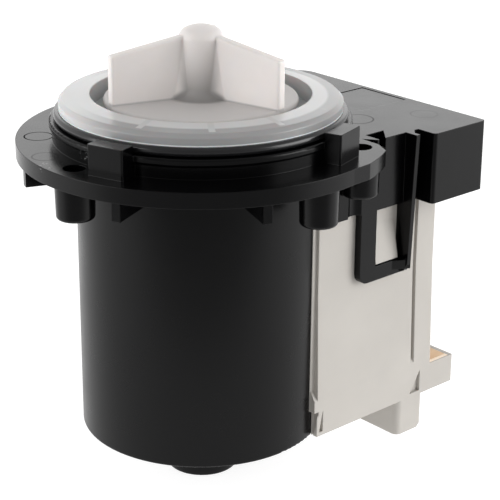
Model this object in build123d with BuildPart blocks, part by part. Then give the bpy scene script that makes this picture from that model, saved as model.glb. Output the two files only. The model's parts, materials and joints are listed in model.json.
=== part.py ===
from build123d import *
from math import atan2, cos, degrees, radians, sin
import os

# A washing machine's drain pump. Lengths are millimetres and angles degrees. Z is the rotor's
# axis, Z 0 is the flange's top face, the impeller is on top and the coils lie towards +X.

# Clearances
running_clearance = 0.06
fit_clearance = 0.05
assembly_clearance = 0.2
loose_clearance = 0.4
overrun = 1.0
selection_margin = 0.01

# Flange
flange_radius = 45.65
flange_thickness = 3.9
flange_floor_thickness = 2.0
neck_radius = 36.7
neck_wall = 2.7
neck_height = 5.0
neck_edge_radius = 0.6
neck_lip_reach = 0.7
neck_lip_height = 2.0
spigot_wall = 1.5
spigot_depth = 3.6

# Flange screws
screw_count = 3
screw_circle_radius = 40.3
screw_hole_radius = 2.7
first_screw_angle = 63.3
boss_radius = 4.8
boss_depth = 8.3
blind_boss_depth = 9.4
boss_draft = 1.2
boss_edge_radius = 0.9
blind_boss_angle = -87.3

# Ear beside the arm
ear_radius = 4.9
ear_reach = 46.6
ear_angles = (-79.0, -72.0, -58.0)
ear_tangent_angle = -20.0
ear_slit_width = 2.4
ear_slit_depth = 3.1

# Ribs under the flange
rib_thickness = 2.2
rib_depth = 4.7
rib_reach = 44.9
rib_angles = (114.5, 159.5, 204.5, 249.5)

# Key blocks on the flange
key_angles = (-161.8, -72.5)
key_width = 9.6
key_reach = 41.5
key_height = 7.4
key_edge_radius = 0.4

# Arm over the coils
arm_start_x = 14.0
arm_end_x = 63.2
arm_wall = 2.0
arm_depth = 18.5
arm_far_corner_radius = 7.0
arm_corner_radius = 1.0
arm_block_start_x = 44.0
arm_block_reach = 5.84
arm_notch_x = 30.0
arm_notch_width = 6.4
arm_notch_mouth = 2.2
arm_notch_depth = 4.8
arm_panel_start_x = 45.1
arm_panel_end_x = 61.8
arm_panel_y = (-11.3, 4.9)
arm_panel_depth = 0.12

# Latch straps on the arm
strap_start_x = 24.6
strap_end_x = 40.8
strap_depth = 18.9
strap_left_bar = 5.5
strap_right_bar = 1.3
strap_bottom_bar = 3.8
strap_corner_radius = 2.6
strap_curve_angles = (90, 67.5, 45, 22.5, 0)
fin_top_reach = 3.7
fin_bottom_reach = 2.3
fin_root = 1.8
fin_foot_length = 4.5

# Canister
canister_radius = 31.2
canister_wall = 2.2
canister_depth = 72.45
canister_edge_radius = 0.5
nose_radius = 9.35
nose_wall = 1.35
nose_floor = 2.0
nose_depth = 14.45
nose_edge_radius = 0.8
window_start_x = 10.0
window_top_gap = 4.1
window_bottom_gap = 8.1

# Coil housing
housing_end_x = 54.2
housing_half_width = 29.4
housing_depth = 72.2
housing_wall = 1.8
pad_start_x = 12.1
pad_end_x = 46.5
pad_groove_width = 1.2
pad_height = 0.8
pad_draft_drop = 33.9
band_start_x = 11.0
band_height = 1.6
band_rise = 10.1
band_ramp = 2.5
hook_start_x = 30.5
hook_width = 8.0
hook_length = 10.3
hook_height = 1.9
foot_start_x = 42.0
foot_end_x = 50.95
foot_width = 15.0
foot_depth = 9.9
foot_wall = 1.5
foot_corner_radius = 1.8
foot_chamfer = 1.0
corner_notch_end_x = 12.0
corner_notch_rise = 6.9
corner_gusset_gap = 0.9
corner_gusset_reach = 1.4
corner_gusset_depth = 0.5
corner_rib_width = 0.8
corner_slot_width = 1.3
slot_end_width = 0.6
slot_lip = 1.0
gusset_slot_width = 3.8
gusset_slot_rise = 7.1
gusset_slot_depth = 0.9

# Connector
connector_end_x = 63.2
connector_width = 18.5
connector_height = 7.9
connector_wall = 1.4
blade_thickness = 0.8
blade_width = 4.8
blade_foot_height = 2.4
blade_foot_length = 8.0
blade_gap = 6.9
blade_top_gap = 0.8

# Seal plate
plate_rim_radius = 35.0
plate_rim_edge = 1.0
plate_recess_depth = 4.8
plate_lip_rise = 0.6
plate_lip_radius = 27.3
plate_wall = 1.2
plate_floor_top = 6.0
plate_plug_bottom = 1.5
seal_seat_radius = 7.1
seal_seat_wall = 1.5
seal_seat_bottom = 1.0
seal_seat_lip = 0.5
seal_height = 4.0

# Ring between the seal plate and the neck
o_ring_gap = 2.26
o_ring_clearance = 0.03

# Rotor well
gasket_thickness = 0.4
well_collar_radius = 20.0
well_collar_thickness = 1.0
well_inner_radius = 14.3
well_wall = 1.6
well_floor_z = -66.0
well_pocket_radius = 6.4
well_pocket_wall = 1.4
well_pocket_depth = 11.4
well_tip_radius = 4.0
well_tip_wall = 1.4

# Bearings
shaft_radius = 2.5
shaft_top_z = 23.5
shaft_bottom_z = -84.0
shaft_edge_radius = 0.4
bearing_wall = 2.4
front_bearing_length = 11.6
front_bearing_top_z = -0.6
holder_flange_thickness = 1.1
holder_depth = 12.0
holder_hub_wall = 2.4
holder_skirt_wall = 1.5
rear_bearing_length = 10.4
rear_holder_wall = 1.45
thrust_washer_radius = 5.6
thrust_washer_thickness = 1.0
ring_thickness = 0.8
ring_radius = 4.2
ring_groove_depth = 0.3

# Rotor
magnet_radius = 12.9
magnet_top_z = -26.5
magnet_length = 34.0
carrier_radius = 6.0
carrier_flange_radius = 12.4
carrier_flange_thickness = 2.0

# Impeller
impeller_radius = 24.0
impeller_bottom_z = 8.0
impeller_disc_thickness = 2.0
impeller_edge_radius = 0.9
hub_radius = 5.5
hub_base_radius = 7.9
hub_shoulder_z = 24.6
hub_top_z = 27.6
vane_count = 3
first_vane_angle = 43.7
vane_thickness = 2.7
vane_tip_radius = 23.8
vane_tip_z = 22.0
vane_root_z = 25.3
vane_edge_radius = 0.5
web_start_x = 3.0
web_end_x = 8.4
web_half_width = 4.1
web_end_width = 2.3
web_taper = 5.0
bore_top_z = 24.0

# Coupling in the impeller's hub
coupling_radius = 4.7
coupling_top_z = 12.6
coupling_cap_thickness = 0.5
coupling_gap = 0.1
dog_wall = 0.85
lug_reach = 4.05
lug_angle = 40.0
damper_angle = 64.0
damper_reach = 4.5
stop_angle = 50.0
stop_clearance = 0.15

# Stator
core_top_z = -27.0
core_length = 30.0
pole_radius = 24.5
pole_gap = 0.5
pole_slot = 3.2
leg_inner_y = 9.0
leg_outer_y = 19.0
leg_end_x = 41.0
yoke_length = 10.0
yoke_overlap = 0.6

# Coils
bobbin_start_x = 25.0
bobbin_wall = 1.2
bobbin_centre_gap = 0.7
bobbin_overhang = 8.0
winding_inset = 0.9
cutout_length = 8.0
cutout_width = 10.0
cutout_height = 3.5
lead_radius = 0.6
lead_bend_radius = 2.5
lead_spacing = 2.0

# Places worked out from the sizes above
flange_bottom_z = -flange_thickness
floor_top_z = flange_bottom_z + flange_floor_thickness
neck_bore = neck_radius - neck_wall
screw_angles = [first_screw_angle + 360 / screw_count * k for k in range(screw_count)]
boss_bottom_z = flange_bottom_z - boss_depth
pad_y = housing_half_width + pad_height
band_y = housing_half_width + band_height
arm_inner_y = pad_y + running_clearance
arm_side_y = arm_inner_y + arm_wall
arm_block_y = arm_side_y + arm_block_reach
arm_bottom_z = -arm_depth
strap_bottom_z = arm_bottom_z - strap_depth
strap_window_z = strap_bottom_z + strap_bottom_bar
strap_window_start_x = strap_start_x + strap_left_bar
strap_window_end_x = strap_end_x - strap_right_bar
canister_inner = canister_radius - canister_wall
canister_bottom_z = flange_bottom_z - canister_depth
canister_floor_z = canister_bottom_z + canister_wall
nose_bottom_z = canister_bottom_z - nose_depth
nose_inner = nose_radius - nose_wall
nose_floor_z = nose_bottom_z + nose_floor
housing_top_z = flange_bottom_z - assembly_clearance
housing_bottom_z = flange_bottom_z - housing_depth
housing_inner_x = housing_end_x - housing_wall
housing_inner_y = housing_half_width - housing_wall
housing_floor_z = housing_bottom_z + housing_wall
housing_cut_radius = canister_radius + fit_clearance
foot_bottom_z = housing_bottom_z - foot_depth
hook_bottom_z = strap_window_z + loose_clearance
connector_top_z = housing_bottom_z + connector_height
connector_floor_z = housing_bottom_z + connector_wall
connector_outer_y = -band_y
connector_inner_y = connector_outer_y + connector_width
plug_radius = neck_bore - assembly_clearance / 2
plate_bottom_z = neck_height + o_ring_gap
plate_edge_z = plate_floor_top + plate_recess_depth
well_seat_z = floor_top_z + gasket_thickness
well_top_z = well_seat_z + well_collar_thickness
well_outer = well_inner_radius + well_wall
bearing_radius = shaft_radius + bearing_wall
bearing_bore = shaft_radius + running_clearance
front_bearing_z = front_bearing_top_z - front_bearing_length
front_washer_z = front_bearing_z - assembly_clearance - thrust_washer_thickness
rear_pocket_z = well_floor_z - well_pocket_depth
rear_bearing_top_z = well_floor_z - loose_clearance - assembly_clearance
rear_washer_z = well_floor_z - loose_clearance
carrier_top_z = front_washer_z - assembly_clearance
carrier_bottom_z = rear_washer_z + thrust_washer_thickness + assembly_clearance
magnet_bottom_z = magnet_top_z - magnet_length
disc_top_z = impeller_bottom_z + impeller_disc_thickness
dog_bottom_z = impeller_bottom_z + coupling_cap_thickness + coupling_gap
dog_top_z = coupling_top_z - loose_clearance
dog_radius = shaft_radius + fit_clearance + dog_wall
core_bottom_z = core_top_z - core_length
bobbin_end_x = leg_end_x - fit_clearance
bobbin_outer_y = housing_inner_y - assembly_clearance
blade_centre_y = (connector_outer_y + connector_inner_y) / 2
blade_places = (blade_centre_y - blade_gap / 2, blade_centre_y + blade_gap / 2)
blade_foot_z = housing_floor_z + fit_clearance


# Builder helpers. Each works on the part or sketch that is being built.
def polar(radius, angle):
    return (radius * cos(radians(angle)), radius * sin(radians(angle)))


def ring(outer, inner, low, high, mode=Mode.ADD):
    with BuildSketch(Plane.XY.offset(low)) as outline:
        Circle(outer)
        if inner > 0:
            Circle(inner, mode=Mode.SUBTRACT)
    extrude(outline.sketch, amount=high - low, mode=mode)


def block(x, y, z, mode=Mode.ADD):
    with BuildSketch(Plane.XY.offset(min(z))) as outline:
        with Locations(((x[0] + x[1]) / 2, (y[0] + y[1]) / 2)):
            Rectangle(abs(x[1] - x[0]), abs(y[1] - y[0]))
    extrude(outline.sketch, amount=abs(z[1] - z[0]), mode=mode)


def polygon(plane, points):
    with BuildSketch(plane) as outline:
        with BuildLine():
            Polyline(*points, close=True)
        make_face()
    return outline.sketch


def lathe(points, mode=Mode.ADD):
    revolve(polygon(Plane.XZ, points), axis=Axis.Z, mode=mode)


def plate_xz(points, y_low, y_high, mode=Mode.ADD):
    extrude(polygon(Plane.XZ.offset(-y_high), points), amount=y_high - y_low, mode=mode)


def plate_yz(points, x_low, x_high, mode=Mode.ADD):
    extrude(polygon(Plane.YZ.offset(x_low), points), amount=x_high - x_low, mode=mode)


def sector(outer, inner, centre_angle, width_angle, low, high, mode=Mode.ADD):
    start = centre_angle - width_angle / 2
    end = centre_angle + width_angle / 2
    with BuildSketch(Plane.XY.offset(low)) as outline:
        with BuildLine():
            ThreePointArc(polar(outer, start), polar(outer, centre_angle), polar(outer, end))
            Line(polar(outer, end), polar(inner, end))
            ThreePointArc(polar(inner, end), polar(inner, centre_angle), polar(inner, start))
            Line(polar(inner, start), polar(outer, start))
        make_face()
    extrude(outline.sketch, amount=high - low, mode=mode)


def round_edge(builder, radius, height):
    level = builder.edges().filter_by(GeomType.CIRCLE)
    level = level.filter_by_position(Axis.Z, height - selection_margin, height + selection_margin)
    return min(level, key=lambda edge: abs(edge.radius - radius))


def save(builder, name):
    builder.part.label = name
    export_step(builder.part, f"parts/{name}.step")


os.makedirs("parts", exist_ok=True)


# Flange bracket
def arm_outline(margin, start_x, corner):
    """The arm's plan from below, drawn in by a margin."""
    side = arm_side_y - margin
    end = arm_end_x - margin
    far_radius = arm_far_corner_radius - margin
    with BuildSketch(Plane.XY.offset(arm_bottom_z)) as outline:
        with BuildLine():
            Polyline(
                (end - far_radius, side),
                (start_x, side),
                (start_x, -side),
                (arm_block_start_x + margin, -side),
                (arm_block_start_x + margin, -arm_block_y + margin),
                (end, -arm_block_y + margin),
                (end, side - far_radius),
            )
            RadiusArc((end, side - far_radius), (end - far_radius, side), -far_radius)
        make_face()
        if corner > 0:
            fillet(outline.vertices().group_by(Axis.Y)[0], corner)
    return outline.sketch


bosses = []
for angle in [*screw_angles, blind_boss_angle]:
    depth = blind_boss_depth if angle == blind_boss_angle else boss_depth
    with BuildPart() as boss:
        with BuildSketch(Plane.XY.offset(flange_bottom_z + overrun)):
            Circle(boss_radius)
        extrude(amount=depth + overrun, dir=(0, 0, -1), taper=boss_draft)
        fillet(boss.edges().filter_by(GeomType.CIRCLE).sort_by(Axis.Z)[0], boss_edge_radius)
    boss_x, boss_y = polar(screw_circle_radius, angle)
    bosses.append(Pos(boss_x, boss_y) * boss.part)

with BuildPart() as flange_bracket:
    extrude(arm_outline(0, arm_start_x, arm_corner_radius), amount=arm_depth)
    add(bosses)
    arm_hollow = arm_outline(arm_wall, arm_start_x - overrun, 0)
    extrude(arm_hollow, amount=arm_depth - flange_thickness, mode=Mode.SUBTRACT)
    with BuildSketch(Plane.XY.offset(flange_bottom_z)):
        Circle(flange_radius)
        ear_x, ear_y = polar(screw_circle_radius, screw_angles[-1])
        cut_width = flange_radius - ear_x
        cut_depth = flange_radius - arm_side_y
        with Locations((ear_x + cut_width / 2, -arm_side_y - cut_depth / 2)):
            Rectangle(cut_width, cut_depth, mode=Mode.SUBTRACT)
        with Locations((ear_x, ear_y)):
            Circle(ear_radius)
        with BuildLine():
            middle = (ear_angles[1] + ear_angles[2]) / 2
            tangent_x, tangent_y = polar(ear_radius, ear_tangent_angle)
            Polyline(
                polar(ear_reach, ear_angles[2]),
                (ear_x + tangent_x, ear_y + tangent_y),
                (0, 0),
                polar(flange_radius, ear_angles[0]),
                polar(ear_reach, ear_angles[1]),
            )
            ThreePointArc(
                polar(ear_reach, ear_angles[1]),
                polar(ear_reach, middle),
                polar(ear_reach, ear_angles[2]),
            )
        make_face()
    extrude(amount=flange_thickness)
    ring(neck_radius, 0, 0, neck_height)
    neck_lip_radius = neck_radius + neck_lip_reach
    ring(neck_lip_radius, 0, neck_height - neck_lip_height, neck_height)
    fillet(round_edge(flange_bracket, neck_lip_radius, neck_height), neck_edge_radius)
    fillet(round_edge(flange_bracket, neck_lip_radius, neck_height - neck_lip_height), neck_edge_radius)
    ring(neck_bore, 0, floor_top_z, neck_height, mode=Mode.SUBTRACT)
    ring(well_outer + assembly_clearance, 0, flange_bottom_z, floor_top_z, mode=Mode.SUBTRACT)
    spigot_radius = canister_inner - assembly_clearance
    ring(spigot_radius, spigot_radius - spigot_wall, flange_bottom_z - spigot_depth, flange_bottom_z)
    for angle in rib_angles:
        with BuildSketch(Plane.XY.offset(flange_bottom_z - rib_depth)):
            with Locations(Rotation(0, 0, angle)):
                rib_start = canister_radius + assembly_clearance
                with Locations(((rib_start + rib_reach) / 2, 0)):
                    Rectangle(rib_reach - rib_start, rib_thickness)
        extrude(amount=rib_depth)
    for angle in key_angles:
        key_start = neck_radius - neck_wall / 2
        with BuildSketch() as key_sketch:
            with Locations(Rotation(0, 0, angle)):
                with Locations(((key_start + key_reach) / 2, 0)):
                    Rectangle(key_reach - key_start, key_width)
            fillet(key_sketch.vertices(), key_edge_radius)
        extrude(amount=key_height)
    ring(neck_lip_radius, 0, neck_height, key_height + overrun, mode=Mode.SUBTRACT)
    for side in (-1, 1):
        y_low = side * arm_side_y
        y_high = side * arm_inner_y
        strap_curve = [
            (
                strap_start_x + strap_corner_radius - strap_corner_radius * sin(radians(angle)),
                strap_bottom_z + strap_corner_radius - strap_corner_radius * cos(radians(angle)),
            )
            for angle in strap_curve_angles
        ]
        strap = [
            (strap_start_x, arm_bottom_z + overrun),
            *strap_curve,
            (strap_end_x, strap_bottom_z),
            (strap_end_x, arm_bottom_z + overrun),
        ]
        plate_xz(strap, min(y_low, y_high), max(y_low, y_high))
        block(
            (strap_window_start_x, strap_window_end_x),
            (y_low, y_high),
            (strap_window_z, arm_bottom_z),
            mode=Mode.SUBTRACT,
        )
    fin = [
        (-arm_side_y, 0),
        (-arm_side_y - fin_top_reach, 0),
        (-arm_side_y - fin_bottom_reach, strap_bottom_z + strap_corner_radius),
        (-arm_side_y - fin_bottom_reach / 2, strap_bottom_z + strap_corner_radius / 4),
        (-arm_side_y, strap_bottom_z),
    ]
    plate_yz(fin, strap_window_end_x, strap_end_x)
    fin_foot = [
        (strap_end_x - fin_foot_length, -arm_side_y + arm_wall / 2),
        (strap_end_x - fin_foot_length, -arm_side_y),
        (strap_end_x, -arm_side_y - fin_bottom_reach),
        (strap_end_x, -arm_side_y + arm_wall / 2),
    ]
    fin_foot_z = strap_bottom_z + strap_corner_radius / 2
    extrude(polygon(Plane.XY.offset(fin_foot_z), fin_foot), amount=strap_window_z - fin_foot_z)
    root = [
        (strap_end_x - strap_right_bar / 2, -arm_side_y + arm_wall / 2),
        (strap_end_x - strap_right_bar / 2, -arm_side_y - fin_root),
        (strap_end_x, -arm_side_y - fin_root),
        (strap_end_x + fin_root, -arm_side_y),
        (strap_end_x + fin_root, -arm_side_y + arm_wall / 2),
    ]
    extrude(polygon(Plane.XY.offset(arm_bottom_z), root), amount=arm_depth)
    notch_y = -arm_side_y + arm_notch_depth
    notch = [
        (arm_notch_x, notch_y),
        (arm_notch_x + arm_notch_width, notch_y),
        (arm_notch_x + arm_notch_mouth, -arm_side_y),
        (arm_notch_x + arm_notch_mouth, -arm_side_y - overrun),
        (arm_notch_x, -arm_side_y - overrun),
    ]
    slit_x = ear_x + ear_radius + fit_clearance
    slit = [
        (slit_x, -arm_side_y + ear_slit_depth),
        (slit_x + ear_slit_width, -arm_side_y),
        (slit_x + ear_slit_width, -arm_side_y - overrun),
        (slit_x, -arm_side_y - overrun),
    ]
    for outline in (notch, slit):
        cut_face = polygon(Plane.XY.offset(flange_bottom_z), outline)
        extrude(cut_face, amount=flange_thickness, mode=Mode.SUBTRACT)
    block(
        (arm_panel_start_x, arm_panel_end_x), arm_panel_y, (-arm_panel_depth, 0), mode=Mode.SUBTRACT
    )
    with BuildSketch(Plane.XY.offset(arm_bottom_z)):
        for angle in screw_angles:
            with Locations(polar(screw_circle_radius, angle)):
                Circle(screw_hole_radius)
    extrude(amount=arm_depth, mode=Mode.SUBTRACT)
save(flange_bracket, "flange_bracket")


# Canister
with BuildPart() as canister:
    lathe(
        [
            (0, nose_bottom_z),
            (nose_radius, nose_bottom_z),
            (nose_radius, canister_bottom_z),
            (canister_radius, canister_bottom_z),
            (canister_radius, flange_bottom_z),
            (canister_inner, flange_bottom_z),
            (canister_inner, canister_floor_z),
            (nose_inner, canister_floor_z),
            (nose_inner, nose_floor_z),
            (0, nose_floor_z),
        ]
    )
    fillet(round_edge(canister, canister_radius, canister_bottom_z), canister_edge_radius)
    fillet(round_edge(canister, nose_radius, nose_bottom_z), nose_edge_radius)
    block(
        (window_start_x, canister_radius + overrun),
        (-housing_inner_y + loose_clearance, housing_inner_y - loose_clearance),
        (canister_bottom_z + window_bottom_gap, flange_bottom_z - window_top_gap),
        mode=Mode.SUBTRACT,
    )
save(canister, "canister")


# Coil housing
with BuildPart() as coil_housing:
    housing_start_x = 0
    block(
        (housing_start_x, housing_end_x),
        (-housing_half_width, housing_half_width),
        (housing_bottom_z, housing_top_z),
    )
    band_top_z = housing_bottom_z + band_rise
    pad_draft_z = housing_top_z - pad_draft_drop
    pad = [
        (-band_y, housing_bottom_z),
        (-band_y, band_top_z),
        (-pad_y, pad_draft_z),
        (-pad_y, housing_top_z),
        (pad_y, housing_top_z),
        (pad_y, pad_draft_z),
        (band_y, band_top_z),
        (band_y, housing_bottom_z),
    ]
    plate_yz(pad, pad_start_x, pad_end_x)
    plate_yz(pad, pad_end_x + pad_groove_width, housing_end_x)
    band = [
        (-band_y, housing_bottom_z),
        (-band_y, band_top_z),
        (-housing_half_width, band_top_z + band_ramp),
        (housing_half_width, band_top_z + band_ramp),
        (band_y, band_top_z),
        (band_y, housing_bottom_z),
    ]
    plate_yz(band, band_start_x, housing_end_x)
    for side in (-1, 1):
        hook = [
            (side * housing_half_width, hook_bottom_z),
            (side * (pad_y + hook_height), hook_bottom_z),
            (side * pad_y, hook_bottom_z + hook_length),
            (side * housing_half_width, hook_bottom_z + hook_length),
        ]
        plate_yz(hook, hook_start_x, hook_start_x + hook_width)
        foot_pocket_y = (side * (band_y - foot_wall), side * (band_y - foot_width + foot_wall))
        with BuildSketch(Plane.XY.offset(foot_bottom_z)) as foot_sketch:
            with Locations(((foot_start_x + foot_end_x) / 2, side * (band_y - foot_width / 2))):
                Rectangle(foot_end_x - foot_start_x, foot_width)
            fillet(foot_sketch.vertices().group_by(Axis.X)[0], foot_corner_radius)
        extrude(amount=foot_depth + housing_wall)
        foot_edge = [
            (foot_end_x - foot_chamfer, foot_bottom_z),
            (foot_end_x, foot_bottom_z),
            (foot_end_x, foot_bottom_z + foot_chamfer),
        ]
        plate_xz(foot_edge, -band_y, band_y, mode=Mode.SUBTRACT)
        block(
            (foot_start_x + foot_wall, foot_end_x - foot_wall),
            foot_pocket_y,
            (foot_bottom_z, housing_bottom_z),
            mode=Mode.SUBTRACT,
        )
        slot_y = sorted((side * band_y, side * (band_y - gusset_slot_depth)))
        foot_slot_x = foot_end_x - slot_end_width
        corner_slot_x = corner_notch_end_x + corner_rib_width + corner_slot_width
        for slot_x, slot_width in ((foot_slot_x, gusset_slot_width), (corner_slot_x, corner_slot_width)):
            slot = [
                (slot_x, housing_bottom_z + slot_lip),
                (slot_x, housing_bottom_z + gusset_slot_rise),
                (slot_x - slot_width, housing_bottom_z + slot_lip),
            ]
            plate_xz(slot, slot_y[0], slot_y[1], mode=Mode.SUBTRACT)
        notch_top_z = housing_bottom_z + corner_notch_rise
        notch_back_y = band_y - gusset_slot_depth * 2
        corner_gusset = [
            (side * (band_y + overrun), notch_top_z),
            (side * (band_y + overrun), notch_top_z - corner_gusset_gap),
            (side * band_y, notch_top_z - corner_gusset_gap),
            (side * (band_y - corner_gusset_reach), housing_bottom_z),
            (side * notch_back_y, housing_bottom_z),
            (side * notch_back_y, notch_top_z),
        ]
        gusset_x = corner_notch_end_x + corner_gusset_depth
        plate_yz(corner_gusset, corner_notch_end_x, gusset_x, mode=Mode.SUBTRACT)
    block(
        (foot_end_x, connector_end_x),
        (connector_outer_y, connector_inner_y),
        (housing_bottom_z, connector_top_z),
    )
    block(
        (housing_end_x, connector_end_x - connector_wall),
        (connector_outer_y + connector_wall, connector_inner_y - connector_wall),
        (connector_floor_z, connector_top_z),
        mode=Mode.SUBTRACT,
    )
    block(
        (housing_start_x, housing_inner_x),
        (-housing_inner_y, housing_inner_y),
        (housing_floor_z, housing_top_z),
        mode=Mode.SUBTRACT,
    )
    block(
        (housing_start_x, corner_notch_end_x),
        (-band_y, band_y),
        (housing_bottom_z, notch_top_z),
        mode=Mode.SUBTRACT,
    )
    ring(housing_cut_radius, 0, housing_bottom_z, housing_top_z, mode=Mode.SUBTRACT)
    for place in blade_places:
        half = blade_thickness / 2 + fit_clearance
        block(
            (housing_inner_x, housing_end_x),
            (place - half, place + half),
            (housing_floor_z, blade_foot_z + blade_foot_height + fit_clearance),
            mode=Mode.SUBTRACT,
        )
save(coil_housing, "coil_housing")


# Seal plate under the impeller
with BuildPart() as seal_plate:
    rim_top_z = plate_edge_z - plate_lip_rise
    floor_z = plate_floor_top - plate_wall
    web_z = rim_top_z - plate_wall
    lathe(
        [
            (plate_rim_radius, plate_bottom_z),
            (plate_rim_radius, rim_top_z - plate_rim_edge),
            (plate_rim_radius - plate_rim_edge, rim_top_z),
            (plate_lip_radius, plate_edge_z),
            (plate_lip_radius, plate_floor_top),
            (seal_seat_radius, plate_floor_top),
            (seal_seat_radius, seal_seat_bottom + seal_seat_lip),
            (seal_seat_radius - plate_wall, seal_seat_bottom + seal_seat_lip),
            (seal_seat_radius - plate_wall, seal_seat_bottom),
            (seal_seat_radius + seal_seat_wall, seal_seat_bottom),
            (seal_seat_radius + seal_seat_wall, floor_z),
            (plate_lip_radius + plate_wall, floor_z),
            (plate_lip_radius + plate_wall, web_z),
            (plug_radius - plate_wall, web_z),
            (plug_radius - plate_wall, plate_plug_bottom),
            (plug_radius, plate_plug_bottom),
            (plug_radius, plate_bottom_z),
        ]
    )
save(seal_plate, "seal_plate")


with BuildPart() as neck_o_ring:
    section_radius = o_ring_gap / 2 - o_ring_clearance
    with BuildSketch(Plane.XZ):
        with Locations((plug_radius + assembly_clearance + section_radius, neck_height + o_ring_gap / 2)):
            Circle(section_radius)
    revolve(axis=Axis.Z)
save(neck_o_ring, "neck_o_ring")


with BuildPart() as shaft_seal:
    seal_bottom_z = seal_seat_bottom + seal_seat_lip
    ring(seal_seat_radius - fit_clearance, bearing_bore, seal_bottom_z, seal_bottom_z + seal_height)
save(shaft_seal, "shaft_seal")


# Rotor well, the closed can round the rotor
with BuildPart() as rotor_well:
    well_bottom_z = nose_floor_z + assembly_clearance
    lathe(
        [
            (well_collar_radius, well_seat_z),
            (well_collar_radius, well_top_z),
            (well_inner_radius, well_top_z),
            (well_inner_radius, well_floor_z),
            (well_pocket_radius, well_floor_z),
            (well_pocket_radius, rear_pocket_z),
            (well_tip_radius, rear_pocket_z),
            (well_tip_radius, well_bottom_z + well_tip_wall),
            (0, well_bottom_z + well_tip_wall),
            (0, well_bottom_z),
            (well_tip_radius + well_tip_wall, well_bottom_z),
            (well_tip_radius + well_tip_wall, rear_pocket_z - well_pocket_wall),
            (well_pocket_radius + well_pocket_wall, rear_pocket_z - well_pocket_wall),
            (well_pocket_radius + well_pocket_wall, well_floor_z - well_wall),
            (well_outer, well_floor_z - well_wall),
            (well_outer, well_seat_z),
        ]
    )
save(rotor_well, "rotor_well")


with BuildPart() as well_gasket:
    ring(well_collar_radius, well_outer + assembly_clearance, floor_top_z, well_seat_z)
save(well_gasket, "well_gasket")


# Front bearing
with BuildPart() as front_bearing_holder:
    holder_top_z = well_top_z + holder_flange_thickness
    holder_hub = bearing_radius + fit_clearance + holder_hub_wall
    holder_skirt = well_inner_radius - fit_clearance
    ring(well_collar_radius, 0, well_top_z, holder_top_z)
    ring(holder_skirt, 0, -holder_depth, well_top_z)
    ring(holder_skirt - holder_skirt_wall, holder_hub, -holder_depth, well_top_z, mode=Mode.SUBTRACT)
    ring(bearing_radius + fit_clearance, 0, -holder_depth, holder_top_z, mode=Mode.SUBTRACT)
save(front_bearing_holder, "front_bearing_holder")

with BuildPart() as front_bearing:
    ring(bearing_radius, bearing_bore, front_bearing_z, front_bearing_top_z)
save(front_bearing, "front_bearing")

with BuildPart() as front_thrust_washer:
    washer_bore = shaft_radius + loose_clearance / 2
    ring(thrust_washer_radius, washer_bore, front_washer_z, front_washer_z + thrust_washer_thickness)
save(front_thrust_washer, "front_thrust_washer")


# Rear bearing
with BuildPart() as rear_bearing_holder:
    rear_outer = well_pocket_radius - fit_clearance
    ring(rear_outer, rear_outer - rear_holder_wall, rear_pocket_z, well_floor_z - loose_clearance)
save(rear_bearing_holder, "rear_bearing_holder")

with BuildPart() as rear_bearing:
    rear_radius = rear_outer - rear_holder_wall - fit_clearance
    ring(rear_radius, bearing_bore, rear_bearing_top_z - rear_bearing_length, rear_bearing_top_z)
save(rear_bearing, "rear_bearing")

with BuildPart() as rear_thrust_washer:
    ring(thrust_washer_radius, washer_bore, rear_washer_z, rear_washer_z + thrust_washer_thickness)
save(rear_thrust_washer, "rear_thrust_washer")


# Rotor
with BuildPart() as rotor_shaft:
    ring(shaft_radius, 0, shaft_bottom_z, shaft_top_z)
    chamfer(round_edge(rotor_shaft, shaft_radius, shaft_top_z), shaft_edge_radius)
    chamfer(round_edge(rotor_shaft, shaft_radius, shaft_bottom_z), shaft_edge_radius)
    ring(
        shaft_radius + overrun,
        shaft_radius - ring_groove_depth,
        -ring_thickness / 2,
        ring_thickness / 2,
        mode=Mode.SUBTRACT,
    )
save(rotor_shaft, "rotor_shaft")

with BuildPart() as retaining_ring:
    ring_height = ring_thickness / 2 - fit_clearance / 2
    ring(ring_radius, shaft_radius - ring_groove_depth + fit_clearance, -ring_height, ring_height)
save(retaining_ring, "retaining_ring")

with BuildPart() as rotor_carrier:
    ring(carrier_radius, 0, carrier_bottom_z, carrier_top_z)
    ring(carrier_flange_radius, 0, magnet_bottom_z - carrier_flange_thickness, magnet_bottom_z)
    ring(shaft_radius + fit_clearance, 0, carrier_bottom_z, carrier_top_z, mode=Mode.SUBTRACT)
save(rotor_carrier, "rotor_carrier")

with BuildPart() as rotor_magnet:
    ring(magnet_radius, carrier_radius + fit_clearance, magnet_bottom_z, magnet_top_z)
save(rotor_magnet, "rotor_magnet")

with BuildPart() as rotor_end_cap:
    cap_top_z = magnet_top_z + carrier_flange_thickness
    ring(carrier_flange_radius, carrier_radius + fit_clearance, magnet_top_z, cap_top_z)
save(rotor_end_cap, "rotor_end_cap")


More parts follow.
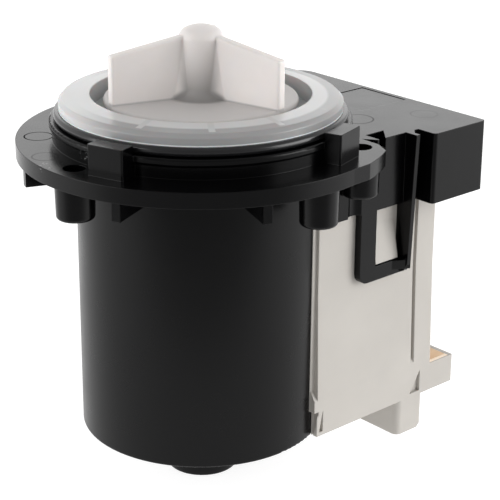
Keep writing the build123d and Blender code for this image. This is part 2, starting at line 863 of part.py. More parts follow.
# Impeller
vane_rise = (vane_root_z - vane_tip_z) / (vane_tip_radius - hub_radius)
vane_peak_z = vane_tip_z + vane_rise * vane_tip_radius
crown_x = hub_radius * cos(radians(45))
crown_drop = (hub_top_z - hub_shoulder_z) * (1 - sin(radians(45)))
crown_slope = 2 * degrees(atan2(crown_drop, crown_x))
with BuildPart() as vane:
    with BuildSketch(Plane.XZ):
        with BuildLine():
            Polyline(
                (0, disc_top_z - impeller_disc_thickness / 2),
                (vane_tip_radius, disc_top_z - impeller_disc_thickness / 2),
                (vane_tip_radius, vane_tip_z),
                (0, vane_peak_z),
                close=True,
            )
        make_face()
    extrude(amount=vane_thickness / 2, both=True)
    vane_edges = [
        edge
        for edge in vane.edges()
        if edge.center().Z > disc_top_z + vane_edge_radius and edge.center().X > hub_radius
    ]
    fillet(vane_edges, vane_edge_radius)
    web = [
        (web_start_x, -web_half_width),
        (web_end_x, -web_end_width / 2),
        (web_end_x, web_end_width / 2),
        (web_start_x, web_half_width),
    ]
    web_z = disc_top_z - impeller_disc_thickness / 2
    extrude(polygon(Plane.XY.offset(web_z), web), amount=hub_shoulder_z - web_z, taper=web_taper)

with BuildPart() as impeller:
    ring(impeller_radius, 0, impeller_bottom_z, disc_top_z)
    fillet(round_edge(impeller, impeller_radius, disc_top_z), impeller_edge_radius)
    fillet(round_edge(impeller, impeller_radius, impeller_bottom_z), impeller_edge_radius)
    flare = hub_base_radius - hub_radius
    with BuildSketch(Plane.XZ):
        with BuildLine():
            Polyline((0, hub_top_z), (0, disc_top_z), (hub_base_radius, disc_top_z))
            flare_x = hub_base_radius - flare * sin(radians(45))
            flare_z = disc_top_z + flare - flare * cos(radians(45))
            ThreePointArc(
                (hub_base_radius, disc_top_z), (flare_x, flare_z), (hub_radius, disc_top_z + flare)
            )
            Line((hub_radius, disc_top_z + flare), (hub_radius, hub_shoulder_z))
            TangentArc((0, hub_top_z), (crown_x, hub_top_z - crown_drop), tangent=(1, 0))
            TangentArc(
                (crown_x, hub_top_z - crown_drop),
                (hub_radius, hub_shoulder_z),
                tangent=(cos(radians(crown_slope)), -sin(radians(crown_slope))),
            )
        make_face()
    revolve(axis=Axis.Z)
    for k in range(vane_count):
        add(vane.part, rotation=(0, 0, first_vane_angle + 360 / vane_count * k))
    ring(coupling_radius, 0, impeller_bottom_z, coupling_top_z, mode=Mode.SUBTRACT)
    ring(bearing_bore, 0, coupling_top_z, bore_top_z, mode=Mode.SUBTRACT)
    stop_inner = dog_radius + stop_clearance
    sector(
        coupling_radius + selection_margin,
        stop_inner,
        180,
        stop_angle,
        impeller_bottom_z + coupling_cap_thickness + coupling_gap / 2,
        coupling_top_z + selection_margin,
    )
save(impeller, "impeller")


# Coupling between the shaft and the impeller
with BuildPart() as drive_dog:
    ring(dog_radius, 0, dog_bottom_z, dog_top_z)
    sector(lug_reach, dog_radius / 2, 0, lug_angle, dog_bottom_z, dog_top_z)
    ring(shaft_radius + fit_clearance, 0, dog_bottom_z, dog_top_z, mode=Mode.SUBTRACT)
save(drive_dog, "drive_dog")

with BuildPart() as coupling_damper:
    damper_inner = dog_radius + fit_clearance
    lug_clear_angle = lug_angle + 1
    sector(damper_reach, damper_inner, 0, damper_angle, dog_bottom_z, dog_top_z)
    sector(
        lug_reach + fit_clearance,
        damper_inner / 2,
        0,
        lug_clear_angle,
        dog_bottom_z,
        dog_top_z,
        mode=Mode.SUBTRACT,
    )
save(coupling_damper, "coupling_damper")

with BuildPart() as coupling_cap:
    ring(
        coupling_radius - fit_clearance,
        bearing_bore,
        impeller_bottom_z,
        impeller_bottom_z + coupling_cap_thickness,
    )
save(coupling_cap, "coupling_cap")


# Stator, near and far pieces alike
sides = {"near": -1, "far": 1}
for name, side in sides.items():
    with BuildPart() as pole_piece:
        ring(pole_radius, 0, core_bottom_z, core_top_z)
        block((0, leg_end_x), (leg_inner_y, leg_outer_y), (core_bottom_z, core_top_z))
        ring(well_outer + pole_gap, 0, core_bottom_z, core_top_z, mode=Mode.SUBTRACT)
        block(
            (-pole_radius, pole_radius),
            (-pole_radius, pole_slot / 2),
            (core_bottom_z, core_top_z),
            mode=Mode.SUBTRACT,
        )
        if side < 0:
            mirror(about=Plane.XZ, mode=Mode.REPLACE)
    save(pole_piece, f"pole_piece_{name}")

with BuildPart() as stator_yoke:
    yoke_y = leg_outer_y + yoke_overlap
    block((leg_end_x, leg_end_x + yoke_length), (-yoke_y, yoke_y), (core_bottom_z, core_top_z))
save(stator_yoke, "stator_yoke")


# Coils
for name, side in sides.items():
    leg_y = [leg_inner_y - assembly_clearance, leg_outer_y + assembly_clearance]
    leg_z = [core_bottom_z - assembly_clearance, core_top_z + assembly_clearance]
    tube_y = [leg_y[0] - bobbin_wall, leg_y[1] + bobbin_wall]
    tube_z = [leg_z[0] - bobbin_wall, leg_z[1] + bobbin_wall]
    cheek_y = [bobbin_centre_gap, bobbin_outer_y]
    cheek_z = [core_bottom_z - bobbin_overhang, core_top_z + bobbin_overhang]
    winding_y = [cheek_y[0] + winding_inset, cheek_y[1] - winding_inset]
    winding_z = [cheek_z[0] + winding_inset, cheek_z[1] - winding_inset]
    winding_x = [
        bobbin_start_x + bobbin_wall + fit_clearance,
        bobbin_end_x - bobbin_wall - fit_clearance,
    ]
    with BuildPart() as bobbin:
        block((bobbin_start_x, bobbin_end_x), tube_y, tube_z)
        for start_x in (bobbin_start_x, bobbin_end_x - bobbin_wall):
            block((start_x, start_x + bobbin_wall), cheek_y, cheek_z)
        block((bobbin_start_x, bobbin_end_x), leg_y, leg_z, mode=Mode.SUBTRACT)
        if side < 0:
            mirror(about=Plane.XZ, mode=Mode.REPLACE)
    save(bobbin, f"bobbin_{name}")
    with BuildPart() as winding:
        block(winding_x, winding_y, winding_z)
        block(
            winding_x,
            (tube_y[0] - fit_clearance, tube_y[1] + fit_clearance),
            (tube_z[0] - fit_clearance, tube_z[1] + fit_clearance),
            mode=Mode.SUBTRACT,
        )
        if side < 0:
            mirror(about=Plane.XZ, mode=Mode.REPLACE)
    save(winding, f"winding_{name}")

with BuildPart() as thermal_cutout:
    cutout_x = (winding_x[0] + winding_x[1]) / 2
    cutout_y = -(winding_y[0] + winding_y[1]) / 2
    cutout_z = winding_z[1] + fit_clearance
    block(
        (cutout_x - cutout_length / 2, cutout_x + cutout_length / 2),
        (cutout_y - cutout_width / 2, cutout_y + cutout_width / 2),
        (cutout_z, cutout_z + cutout_height),
    )
save(thermal_cutout, "thermal_cutout")


# Terminals
blade_end_x = (housing_end_x + connector_end_x - connector_wall + blade_width) / 2
blade_inner_x = housing_inner_x - blade_foot_length
blade_top_z = connector_top_z - blade_top_gap
with BuildPart() as terminal_blades:
    for place in blade_places:
        blade_y = (place - blade_thickness / 2, place + blade_thickness / 2)
        block((blade_inner_x, blade_end_x), blade_y, (blade_foot_z, blade_foot_z + blade_foot_height))
        block((blade_end_x - blade_width, blade_end_x), blade_y, (blade_foot_z, blade_top_z))
save(terminal_blades, "terminal_blades")


# Leads inside the housing
def lead(name, points):
    with BuildPart() as wire:
        with BuildLine():
            route = FilletPolyline(*points, radius=lead_bend_radius)
        with BuildSketch(Plane(origin=route @ 0, z_dir=route % 0)):
            Circle(lead_radius)
        sweep()
    save(wire, name)


lead_z = blade_foot_z + blade_foot_height / 2
lead_start_x = blade_inner_x - fit_clearance
lead_end_z = winding_z[0] - fit_clearance
near_x = winding_x[1] - lead_spacing
far_x = near_x - lead_spacing
link_x = far_x - lead_spacing
link_y = (winding_y[0] + winding_y[1]) / 2
link_z = (lead_z + lead_end_z) / 2
lead(
    "lead_near",
    [
        (lead_start_x, blade_places[0], lead_z),
        (near_x, blade_places[0], lead_z),
        (near_x, blade_places[0], lead_end_z),
    ],
)
lead(
    "lead_far",
    [
        (lead_start_x, blade_places[1], lead_z),
        (far_x, blade_places[1], lead_z),
        (far_x, link_y, lead_z),
        (far_x, link_y, lead_end_z),
    ],
)
lead(
    "lead_link",
    [
        (link_x, -link_y, lead_end_z),
        (link_x, -link_y, link_z),
        (link_x, link_y, link_z),
        (link_x, link_y, lead_end_z),
    ],
)
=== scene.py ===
import json
import math

import bmesh
import bpy
from mathutils import Matrix, Vector


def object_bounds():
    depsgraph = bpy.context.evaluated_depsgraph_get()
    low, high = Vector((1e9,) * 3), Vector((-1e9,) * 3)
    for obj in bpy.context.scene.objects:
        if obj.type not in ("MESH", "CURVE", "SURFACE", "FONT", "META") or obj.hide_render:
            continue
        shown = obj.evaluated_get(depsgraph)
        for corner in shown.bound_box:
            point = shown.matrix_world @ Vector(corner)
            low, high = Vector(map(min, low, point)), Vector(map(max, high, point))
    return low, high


# The scene is in metres. The materials' places and sizes without MM are in part millimetres.
MM = 0.001
ORIGIN = (0, 0, 0)
UP = (0, 0, 1)
FLAT = (1, 1, 0)
FRONT = (-0.64, -0.77, 0)
LEFT = (-0.74, 0.67, 0)

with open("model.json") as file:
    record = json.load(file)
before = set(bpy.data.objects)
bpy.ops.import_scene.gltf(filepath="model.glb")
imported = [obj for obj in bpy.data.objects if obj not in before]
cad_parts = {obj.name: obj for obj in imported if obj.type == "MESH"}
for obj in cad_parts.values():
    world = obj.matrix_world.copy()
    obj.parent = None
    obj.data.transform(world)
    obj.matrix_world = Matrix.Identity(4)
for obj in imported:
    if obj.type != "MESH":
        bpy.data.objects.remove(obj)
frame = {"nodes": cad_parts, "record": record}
cad_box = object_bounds()
scene = bpy.context.scene

# Camera, fitted to the photograph's round rims
CAMERA_PLACE = Vector((-242.97, -289.64, 114.13)) * MM
CAMERA_RIGHT = Vector((0.74191, -0.67044, 0.00941))
CAMERA_UP = Vector((0.22361, 0.26063, 0.93918))
CAMERA_CLIP = (0.01, 20)
FOCAL_PIXELS = 1590.17
CENTRE_PIXEL = (261.86, 224.78)
IMAGE_PIXELS = 500
SENSOR_WIDTH = 36.0


def make_camera():
    data = bpy.data.cameras.new("camera")
    data.sensor_width = SENSOR_WIDTH
    data.lens = FOCAL_PIXELS / IMAGE_PIXELS * SENSOR_WIDTH
    data.shift_x = (IMAGE_PIXELS / 2 - CENTRE_PIXEL[0]) / IMAGE_PIXELS
    data.shift_y = (CENTRE_PIXEL[1] - IMAGE_PIXELS / 2) / IMAGE_PIXELS
    data.clip_start, data.clip_end = CAMERA_CLIP
    camera = bpy.data.objects.new("camera", data)
    back = CAMERA_RIGHT.cross(CAMERA_UP)
    turn = Matrix((CAMERA_RIGHT, CAMERA_UP, back)).transposed()
    camera.matrix_world = Matrix.Translation(CAMERA_PLACE) @ turn.to_4x4()
    scene.collection.objects.link(camera)
    scene.camera = camera


# Light and floor. A shade holds where a brightness starts and stops changing, then its values.
LIGHT_TARGET = (0.01, 0.0, -0.03)
LIGHTS = (
    ("back", (0.75, 0.80, 0.38), (1.3, 0.5), 1.6),
    ("left", (-0.80, 0.25, 0.15), (0.6, 0.7), 5.0),
    ("right", (0.50, -0.70, 0.15), (0.6, 0.7), 5.5),
)
STUDIO_FRONT_SHADE = ((0.1, 0.85), (1.0, 0.34))
STUDIO_TOP_SHADE = ((0.35, 0.95), (1.0, 0.45))
FLOOR_SIZE = 3.0
FLOOR_GREY = 0.35
FLOOR_ROUGHNESS = 0.9
FLOOR_GLOW_SHADE = ((0.10, 0.20), (0.86, 0.12))


def grey(value):
    return (value, value, value)


def area_light(name, place, size, power):
    data = bpy.data.lights.new(name, "AREA")
    data.shape = "RECTANGLE"
    data.size, data.size_y = size
    data.energy = power
    light = bpy.data.objects.new(name, data)
    light.location = place
    toward = Vector(LIGHT_TARGET) - Vector(place)
    light.rotation_euler = toward.to_track_quat("-Z", "Y").to_euler()
    scene.collection.objects.link(light)


def facing(tree, coords, direction, shade):
    """A brightness that changes with how far the coordinates lie in a direction."""
    limits, values = shade
    dot = tree.nodes.new("ShaderNodeVectorMath")
    dot.operation = "DOT_PRODUCT"
    dot.inputs[1].default_value = direction
    tree.links.new(coords, dot.inputs[0])
    spread = tree.nodes.new("ShaderNodeMapRange")
    spread.interpolation_type = "SMOOTHSTEP"
    spread.inputs["From Min"].default_value, spread.inputs["From Max"].default_value = limits
    spread.inputs["To Min"].default_value, spread.inputs["To Max"].default_value = values
    tree.links.new(dot.outputs["Value"], spread.inputs["Value"])
    return spread.outputs["Result"]


def make_light():
    world = bpy.data.worlds.new("studio")
    world.use_nodes = True
    tree = world.node_tree
    background = tree.nodes["Background"]
    background.inputs["Color"].default_value = (*grey(1.0), 1)
    coords = tree.nodes.new("ShaderNodeTexCoord").outputs["Generated"]
    front = facing(tree, coords, FRONT, STUDIO_FRONT_SHADE)
    above = facing(tree, coords, UP, STUDIO_TOP_SHADE)
    both = tree.nodes.new("ShaderNodeMath")
    both.operation = "MULTIPLY"
    tree.links.new(front, both.inputs[0])
    tree.links.new(above, both.inputs[1])
    tree.links.new(both.outputs[0], background.inputs["Strength"])
    scene.world = world
    scene.view_settings.view_transform = "Standard"
    for light in LIGHTS:
        area_light(*light)


def make_floor():
    mesh = bpy.data.meshes.new("floor")
    shape = bmesh.new()
    bmesh.ops.create_grid(shape, x_segments=2, y_segments=2, size=FLOOR_SIZE)
    shape.to_mesh(mesh)
    shape.free()
    floor = bpy.data.objects.new("floor", mesh)
    floor.location.z = cad_box[0].z
    scene.collection.objects.link(floor)
    material = bpy.data.materials.new("floor_paper")
    material.use_nodes = True
    tree = material.node_tree
    shader = tree.nodes["Principled BSDF"]
    shader.inputs["Base Color"].default_value = (*grey(FLOOR_GREY), 1)
    shader.inputs["Roughness"].default_value = FLOOR_ROUGHNESS
    shader.inputs["Emission Color"].default_value = (*grey(1), 1)
    coords = tree.nodes.new("ShaderNodeTexCoord").outputs["Object"]
    glow = facing(tree, coords, FRONT, FLOOR_GLOW_SHADE)
    tree.links.new(glow, shader.inputs["Emission Strength"])
    mesh.materials.append(material)


# Materials. A pair of limits is where a mask starts and where it is full.
BEVEL_SAMPLES = 6
GRAIN = 0.4 * MM
GRAIN_DETAIL = 3
GRAIN_HEIGHT = 0.01 * MM
BOX_SOFTNESS = 0.1
SPOT_SOFTNESS = 0.4
LINE_LEVEL_LIMITS = (0.6, 0.3)


class Surface:
    """A procedural material in object space, with rounded edges and a fine bump."""

    def __init__(self, name, color, roughness, edge, grain=GRAIN, grain_height=GRAIN_HEIGHT):
        self.material = bpy.data.materials.new(name)
        self.material.use_nodes = True
        self.tree = self.material.node_tree
        self.shader = self.tree.nodes["Principled BSDF"]
        self.coords = self.node("ShaderNodeTexCoord").outputs["Object"]
        self.put("Base Color", (*color, 1))
        self.put("Roughness", roughness)
        self.normal = None
        if edge > 0:
            bevel = self.node("ShaderNodeBevel", samples=BEVEL_SAMPLES)
            bevel.inputs["Radius"].default_value = edge
            self.normal = bevel.outputs["Normal"]
        if grain > 0:
            self.bump(self.noise(1 / grain, GRAIN_DETAIL), grain_height)

    def put(self, name, value):
        """Sets an input of the shader."""
        self.shader.inputs[name].default_value = value

    def feed(self, output, name):
        """Links an output to an input of the shader."""
        self.link(output, self.shader.inputs[name])

    def node(self, kind, **values):
        node = self.tree.nodes.new(kind)
        for key, value in values.items():
            setattr(node, key, value)
        return node

    def link(self, output, target):
        self.tree.links.new(output, target)

    def noise(self, scale, detail, stretch=None):
        noise = self.node("ShaderNodeTexNoise")
        noise.inputs["Scale"].default_value = scale
        noise.inputs["Detail"].default_value = detail
        source = self.coords
        if stretch:
            mapping = self.node("ShaderNodeMapping")
            mapping.inputs["Scale"].default_value = stretch
            self.link(self.coords, mapping.inputs["Vector"])
            source = mapping.outputs["Vector"]
        self.link(source, noise.inputs["Vector"])
        return noise.outputs["Fac"]

    def ramp(self, value, first, last):
        """Colours from one stop to another, each a place and a colour."""
        ramp = self.node("ShaderNodeValToRGB")
        for element, (place, color) in zip(ramp.color_ramp.elements, (first, last)):
            element.position = place
            element.color = (*color, 1)
        self.link(value, ramp.inputs["Fac"])
        return ramp.outputs["Color"]

    def span(self, value, low, high):
        spread = self.node("ShaderNodeMapRange")
        spread.inputs["To Min"].default_value = low
        spread.inputs["To Max"].default_value = high
        self.link(value, spread.inputs["Value"])
        return spread.outputs["Result"]

    def math(self, operation, first, second=None):
        node = self.node("ShaderNodeMath", operation=operation)
        for place, value in enumerate((first, second)):
            if isinstance(value, (int, float)):
                node.inputs[place].default_value = value
            elif value is not None:
                self.link(value, node.inputs[place])
        return node.outputs[0]

    def times(self, first, second):
        return self.math("MULTIPLY", first, second)

    def step(self, value, limits):
        spread = self.node("ShaderNodeMapRange", interpolation_type="SMOOTHSTEP")
        spread.inputs["From Min"].default_value = limits[0]
        spread.inputs["From Max"].default_value = limits[1]
        self.link(value, spread.inputs["Value"])
        return spread.outputs["Result"]

    def along(self, direction):
        """How far, in metres, a place lies in a direction from the origin."""
        dot = self.node("ShaderNodeVectorMath", operation="DOT_PRODUCT")
        dot.inputs[1].default_value = direction
        self.link(self.coords, dot.inputs[0])
        return dot.outputs["Value"]

    def distance(self, centre, scale):
        """The distance from a place in part millimetres, each axis times its scale."""
        mapping = self.node("ShaderNodeMapping", vector_type="POINT")
        mapping.inputs["Scale"].default_value = [part / MM for part in scale]
        moved = [-place * part for place, part in zip(centre, scale)]
        mapping.inputs["Location"].default_value = moved
        self.link(self.coords, mapping.inputs["Vector"])
        length = self.node("ShaderNodeVectorMath", operation="LENGTH")
        self.link(mapping.outputs["Vector"], length.inputs[0])
        return length.outputs["Value"]

    def spot(self, centre, size):
        away = self.distance(centre, [1 / part for part in size])
        return self.step(away, (1, 1 - SPOT_SOFTNESS))

    def box_mask(self, centre, half_size):
        mask = None
        for axis, half in enumerate(half_size):
            only = [float(axis == place) for place in range(3)]
            limits = (half + BOX_SOFTNESS, half - BOX_SOFTNESS)
            part = self.step(self.distance(centre, only), limits)
            mask = self.times(mask, part) if mask else part
        return mask

    def circle_line(self, centre, radius, width):
        """A thin circle round a vertical axis, on surfaces near the centre's height."""
        flat = self.distance(centre, FLAT)
        away = self.math("ABSOLUTE", self.math("SUBTRACT", flat, radius))
        level = self.distance(centre, UP)
        return self.times(
            self.step(away, (width, width / 3)), self.step(level, LINE_LEVEL_LIMITS)
        )

    def blend(self, amount, color):
        """Mixes a colour over the base colour that the shader has now."""
        mix = self.node("ShaderNodeMix", data_type="RGBA")
        base = self.shader.inputs["Base Color"]
        if base.links:
            self.link(base.links[0].from_socket, mix.inputs[6])
        else:
            mix.inputs[6].default_value = base.default_value
        mix.inputs[7].default_value = (*color, 1)
        self.link(amount, mix.inputs[0])
        self.link(mix.outputs[2], base)

    def bump(self, height, distance):
        bump = self.node("ShaderNodeBump")
        bump.inputs["Distance"].default_value = distance
        bump.inputs["Strength"].default_value = 1.0
        self.link(height, bump.inputs["Height"])
        if self.normal:
            self.link(self.normal, bump.inputs["Normal"])
        self.normal = bump.outputs["Normal"]

    def waves(self, axis, pitch, depth):
        """Fine parallel ridges across an axis."""
        wave = self.node("ShaderNodeTexWave", bands_direction=axis)
        wave.inputs["Scale"].default_value = 1 / (2 * math.pi * pitch)
        self.link(self.coords, wave.inputs["Vector"])
        self.bump(wave.outputs["Fac"], depth)

    def finish(self):
        if self.normal:
            self.feed(self.normal, "Normal")
        return self.material


PATCH_DETAIL = 4
BLACK_PATCH_SCALE = 90
BLACK_ROUGHNESS_SPREAD = (0.06, 0.08)
BLACK_TINT_PLACES = (0.3, 0.8)
BLACK_TINT = 1.35
PLAIN_GLOSS = 0.5
WHITE_PATCH_SCALE = 60
WHITE_ROUGHNESS_SPREAD = (0.05, 0.07)
WHITE_TINT_PLACES = (0.35, 0.65)
WHITE_TINT = 0.93
WHITE_SCATTER = (1.0, 0.8, 0.6)
WHITE_SCATTER_SCALE = 2 * MM


def black_surface(name, color, roughness, edge, gloss=PLAIN_GLOSS):
    surface = Surface(name, color, roughness, edge)
    patches = surface.noise(BLACK_PATCH_SCALE, PATCH_DETAIL)
    less, more = BLACK_ROUGHNESS_SPREAD
    surface.feed(surface.span(patches, roughness - less, roughness + more), "Roughness")
    light = tuple(BLACK_TINT * part for part in color)
    start, end = BLACK_TINT_PLACES
    surface.feed(surface.ramp(patches, (start, color), (end, light)), "Base Color")
    surface.put("Specular IOR Level", gloss)
    return surface


def white_surface(name, color, roughness, edge, subsurface):
    surface = Surface(name, color, roughness, edge)
    patches = surface.noise(WHITE_PATCH_SCALE, PATCH_DETAIL)
    less, more = WHITE_ROUGHNESS_SPREAD
    surface.feed(surface.span(patches, roughness - less, roughness + more), "Roughness")
    dark = tuple(WHITE_TINT * part for part in color)
    start, end = WHITE_TINT_PLACES
    surface.feed(surface.ramp(patches, (start, dark), (end, color)), "Base Color")
    surface.put("Subsurface Weight", subsurface)
    surface.put("Subsurface Scale", WHITE_SCATTER_SCALE)
    surface.put("Subsurface Radius", WHITE_SCATTER)
    return surface


def black_plastic(*values):
    return black_surface(*values).finish()


def white_plastic(*values):
    return white_surface(*values).finish()


OUTER_BLACK = (0.0008, 0.0008, 0.0010)
BRACKET_GLOSS = 0.2
# Ejector marks: centre, radius and strength. Scuffs: centre and half sizes.
EJECTOR_MARKS = (
    ((-31.99, 24.02, 0), 3.5, 1.0),
    ((-40.21, 9.43, 0), 3.1, 0.6),
    ((55.2, -24.0, 0), 3.5, 0.35),
    ((38.6, -16.0, 0), 4.2, 0.8),
)
EJECTOR_LINE_WIDTH = 0.32
SCUFFS = (
    ((-44.0, 4.0, 0), (2.5, 3.5, 2.0)),
    ((-36.8, -6.0, 2.0), (3.0, 7.0, 3.0)),
    ((14.0, -35.5, 2.0), (5.0, 3.0, 3.0)),
    ((55.0, -34.0, -6.0), (3.0, 1.0, 3.0)),
)
SCUFF_SCALE = 2500
SCUFF_DETAIL = 2
SCUFF_STRETCH = (0.3, 0.3, 1)
SCUFF_LIMITS = (0.60, 0.70)
SCUFF_GREY = 0.16


def bracket_plastic():
    surface = black_surface("bracket_plastic", OUTER_BLACK, 0.21, 0.25 * MM, BRACKET_GLOSS)
    lines = None
    for centre, radius, depth in EJECTOR_MARKS:
        circle = surface.circle_line(centre, radius, EJECTOR_LINE_WIDTH)
        line = surface.times(circle, depth)
        lines = surface.math("MAXIMUM", lines, line) if lines else line
    surface.blend(lines, grey(0.0))
    gloss = surface.math("SUBTRACT", BRACKET_GLOSS, surface.times(lines, BRACKET_GLOSS))
    surface.feed(gloss, "Specular IOR Level")
    noise = surface.noise(SCUFF_SCALE, SCUFF_DETAIL, SCUFF_STRETCH)
    streaks = surface.step(noise, SCUFF_LIMITS)
    for centre, size in SCUFFS:
        surface.blend(surface.times(surface.spot(centre, size), streaks), grey(SCUFF_GREY))
    return surface.finish()


# The impeller's heights count from the hub's foot, up and down alike
HUB_FOOT = (0, 0, 8.0)
HUB_RADIUS = 5.9
HUB_EDGE_LIMITS = (1.3, -0.5)
HUB_FLARE = 2.3
HUB_FLARE_LIMITS = (4.6, 1.6)
# Painted shade on the hub, darkest at its foot
HUB_SHADE = (0.17, 0.165, 0.16)
HUB_SHADE_AMOUNT = 0.92
HUB_SHADE_LIMITS = (16.0, -0.5)
# Painted shade on the disc beyond the hub
DISC_HEIGHT_LIMITS = (2.6, 2.1)
DISC_INNER_LIMITS = (8.0, 8.5)
DISC_SHADE_GREY = 0.25
DISC_SHADE_AMOUNT = 0.5
IMPELLER_GLOSS = 0.25
IMPELLER_GLOW = (1.0, 0.96, 0.93)
IMPELLER_GLOW_STRENGTH = 0.035


def impeller_plastic():
    """White plastic, with painted shade on the hub, darker towards its foot, painted shade
    over the disc, and a faint glow of painted light.
    """
    surface = white_surface("impeller_plastic", (0.81, 0.77, 0.75), 0.5, 0.8 * MM, 0.25)
    surface.put("Specular IOR Level", IMPELLER_GLOSS)
    across = surface.distance(ORIGIN, FLAT)
    height = surface.distance(HUB_FOOT, UP)
    flare = surface.times(surface.step(height, HUB_FLARE_LIMITS), HUB_FLARE)
    limit = surface.math("ADD", flare, HUB_RADIUS)
    on_hub = surface.step(surface.math("SUBTRACT", across, limit), HUB_EDGE_LIMITS)
    # Painted shade: the hub darker towards its foot
    shade = surface.times(surface.step(height, HUB_SHADE_LIMITS), HUB_SHADE_AMOUNT)
    surface.blend(surface.times(on_hub, shade), HUB_SHADE)
    # Painted shade: the disc greyed beyond the hub
    off_hub = surface.step(across, DISC_INNER_LIMITS)
    disc_shade = surface.times(surface.step(height, DISC_HEIGHT_LIMITS), off_hub)
    surface.blend(surface.times(disc_shade, DISC_SHADE_AMOUNT), grey(DISC_SHADE_GREY))
    surface.put("Emission Color", (*IMPELLER_GLOW, 1))
    surface.put("Emission Strength", IMPELLER_GLOW_STRENGTH)
    return surface.finish()


# Painted light inside the connector's socket, where its walls lie in shade: a lighter, warmer
# colour and a glow
SOCKET_CENTRE = (58.0, -22.85, -71.4)
SOCKET_HALF_SIZE = (3.9, 7.9, 3.4)
SOCKET_PAINTED_LIGHT = (0.80, 0.66, 0.52)
SOCKET_GLOW = (1.0, 0.80, 0.60)
SOCKET_GLOW_STRENGTH = 0.22


def housing_plastic():
    """Off-white plastic, with painted light inside the connector: a lighter, warmer colour and
    a glow.
    """
    surface = white_surface("housing_plastic", (0.50, 0.474, 0.438), 0.5, 0.4 * MM, 0.05)
    inside = surface.box_mask(SOCKET_CENTRE, SOCKET_HALF_SIZE)
    # Painted light: the socket's inside made lighter and warmer, and made to glow
    surface.blend(inside, SOCKET_PAINTED_LIGHT)
    surface.put("Emission Color", (*SOCKET_GLOW, 1))
    surface.feed(surface.times(inside, SOCKET_GLOW_STRENGTH), "Emission Strength")
    return surface.finish()


PLATE_GREY = 0.66
PLATE_TRANSMISSION = 0.15
PLATE_IOR = 1.49
PLATE_SUBSURFACE = 0.2
PLATE_SCATTER_SCALE = 3 * MM
PLATE_CLOUD = (120, 5)
PLATE_ROUGHNESS_SPAN = (0.18, 0.32)
# Painted shade on the ring's outer band, darker on the front and right, lighter on the left
# where the light falls
BAND_LIMITS = (30.6, 31.6)
BAND_SIDE_LIMITS = (31 * MM, 16 * MM)
BAND_SHADE_AMOUNT = 0.6
BAND_SHADE_GREY = 0.19
TAB_START = -125.7
TAB_PITCH = 30
TAB_PITCHES_ADDED = 8
TAB_SIDE_LIMITS = (0.95, 0.55)
TAB_REACH_LIMITS = (33.4, 32.8)
TAB_FRONT_LIMITS = (12 * MM, 26 * MM)
TAB_GREY = 0.60
# Painted highlight along the ring's lower outer edge, near white and glowing
RIM_HEIGHT_LIMITS = (7.62, 7.5)
RIM_REACH_LIMITS = (34.2, 34.6)
RIM_HIGHLIGHT_GREY = 0.95
RIM_GLOW_STRENGTH = 0.12


def tab_mask(surface, across):
    """Short tabs at even angles, out to a radius, on the front of the ring."""
    axes = surface.node("ShaderNodeSeparateXYZ")
    surface.link(surface.coords, axes.inputs[0])
    turn = surface.math("ARCTAN2", axes.outputs["Y"], axes.outputs["X"])
    first = math.radians(TAB_START)
    pitch = math.radians(TAB_PITCH)
    # Whole pitches are added so that the modulo never meets a negative angle
    turned = surface.math("ADD", turn, TAB_PITCHES_ADDED * pitch - first + pitch / 2)
    wrapped = surface.math("SUBTRACT", surface.math("MODULO", turned, pitch), pitch / 2)
    aside = surface.times(surface.math("ABSOLUTE", wrapped), across)
    near = surface.times(
        surface.step(aside, TAB_SIDE_LIMITS), surface.step(across, TAB_REACH_LIMITS)
    )
    return surface.times(near, surface.step(surface.along(FRONT), TAB_FRONT_LIMITS))


def clear_plastic():
    """Translucent plastic. Painted shade darkens the ring's outer band except on the left,
    short lighter tabs sit on the front, and the rim's lower edge carries a painted highlight
    that glows.
    """
    surface = Surface("plate_plastic", grey(PLATE_GREY), 0.22, 0.5 * MM, grain=0)
    surface.put("Transmission Weight", PLATE_TRANSMISSION)
    surface.put("IOR", PLATE_IOR)
    surface.put("Subsurface Weight", PLATE_SUBSURFACE)
    surface.put("Subsurface Scale", PLATE_SCATTER_SCALE)
    cloud = surface.noise(*PLATE_CLOUD)
    surface.feed(surface.span(cloud, *PLATE_ROUGHNESS_SPAN), "Roughness")
    across = surface.distance(ORIGIN, FLAT)
    height = surface.distance(ORIGIN, UP)
    # Painted shade: the outer band darkened, except on the left
    away = surface.step(surface.along(LEFT), BAND_SIDE_LIMITS)
    band_shade = surface.times(surface.step(across, BAND_LIMITS), away)
    surface.blend(surface.times(band_shade, BAND_SHADE_AMOUNT), grey(BAND_SHADE_GREY))
    surface.blend(tab_mask(surface, across), grey(TAB_GREY))
    # Painted highlight: a glowing light line on the rim's lower edge
    rim_highlight = surface.times(
        surface.step(height, RIM_HEIGHT_LIMITS), surface.step(across, RIM_REACH_LIMITS)
    )
    surface.blend(rim_highlight, grey(RIM_HIGHLIGHT_GREY))
    surface.put("Emission Color", (*grey(1), 1))
    surface.feed(surface.times(rim_highlight, RIM_GLOW_STRENGTH), "Emission Strength")
    return surface.finish()


SMOOTH_EDGE = 0.1 * MM
RUBBER_GRAIN = 0.3 * MM
METAL_GRAIN = 0.2 * MM
METAL_GRAIN_HEIGHT = 0.004 * MM
SHEET_PITCH = 0.5 * MM
SHEET_DEPTH = 0.05 * MM
SHEET_METALLIC = 0.6
WIRE_PITCH = 0.2 * MM
WIRE_DEPTH = 0.1 * MM
WIRE_METALLIC = 0.8


def rubber(name, color, roughness):
    return Surface(name, color, roughness, SMOOTH_EDGE, RUBBER_GRAIN).finish()


def metal(name, color, roughness):
    surface = Surface(name, color, roughness, SMOOTH_EDGE, METAL_GRAIN, METAL_GRAIN_HEIGHT)
    surface.put("Metallic", 1.0)
    return surface.finish()


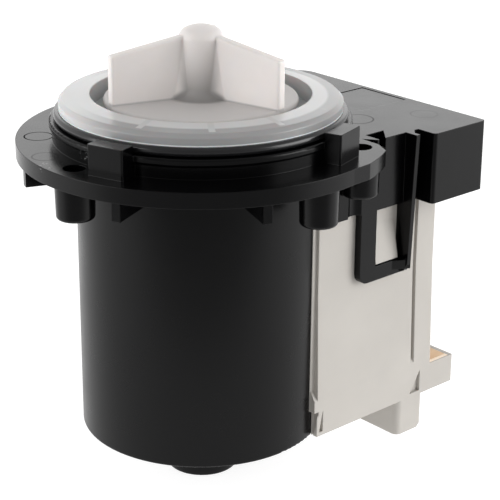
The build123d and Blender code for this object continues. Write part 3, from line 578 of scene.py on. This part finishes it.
def core_sheets():
    surface = Surface("core_sheets", (0.18, 0.19, 0.21), 0.45, edge=0, grain=0)
    surface.waves("Z", SHEET_PITCH, SHEET_DEPTH)
    surface.put("Metallic", SHEET_METALLIC)
    return surface.finish()


def winding_wire():
    surface = Surface("winding_wire", (0.45, 0.17, 0.07), 0.35, 0.5 * MM, grain=0)
    surface.waves("X", WIRE_PITCH, WIRE_DEPTH)
    surface.put("Metallic", WIRE_METALLIC)
    return surface.finish()


def make_materials():
    soot = (0.03, 0.03, 0.033)
    return {
        "bracket_black": bracket_plastic(),
        "canister_black": black_plastic("canister_plastic", OUTER_BLACK, 0.28, 0.6 * MM, 0.18),
        "housing_white": housing_plastic(),
        "plate_clear": clear_plastic(),
        "impeller_white": impeller_plastic(),
        "ring_rubber": rubber("ring_rubber", (0.010, 0.010, 0.011), 0.22),
        "seal_rubber": rubber("seal_rubber", (0.02, 0.02, 0.02), 0.6),
        "well_plastic": white_plastic("well_plastic", (0.62, 0.58, 0.50), 0.5, 0.3 * MM, 0.1),
        "carrier_plastic": black_plastic("carrier_plastic", soot, 0.5, 0.2 * MM),
        "bearing_graphite": rubber("bearing_graphite", soot, 0.4),
        "shaft_steel": metal("shaft_steel", (0.55, 0.55, 0.56), 0.25),
        "magnet_ferrite": rubber("magnet_ferrite", (0.045, 0.04, 0.04), 0.5),
        "core_steel": core_sheets(),
        "bobbin_plastic": white_plastic(
            "bobbin_plastic", (0.70, 0.64, 0.48), 0.5, 0.2 * MM, 0.1
        ),
        "winding_copper": winding_wire(),
        "blade_brass": metal("blade_brass", (0.62, 0.58, 0.48), 0.3),
        "cutout_plastic": black_plastic(
            "cutout_plastic", (0.04, 0.04, 0.045), 0.45, 0.2 * MM
        ),
        "lead_insulation": rubber("lead_insulation", (0.35, 0.03, 0.02), 0.4),
    }


def dress_nodes(materials):
    for part in frame["record"]["subparts"]:
        node = frame["nodes"][part["node"]]
        for slot in node.material_slots:
            slot.material = materials[part["material_slot"]]


make_camera()
make_light()
make_floor()
dress_nodes(make_materials())
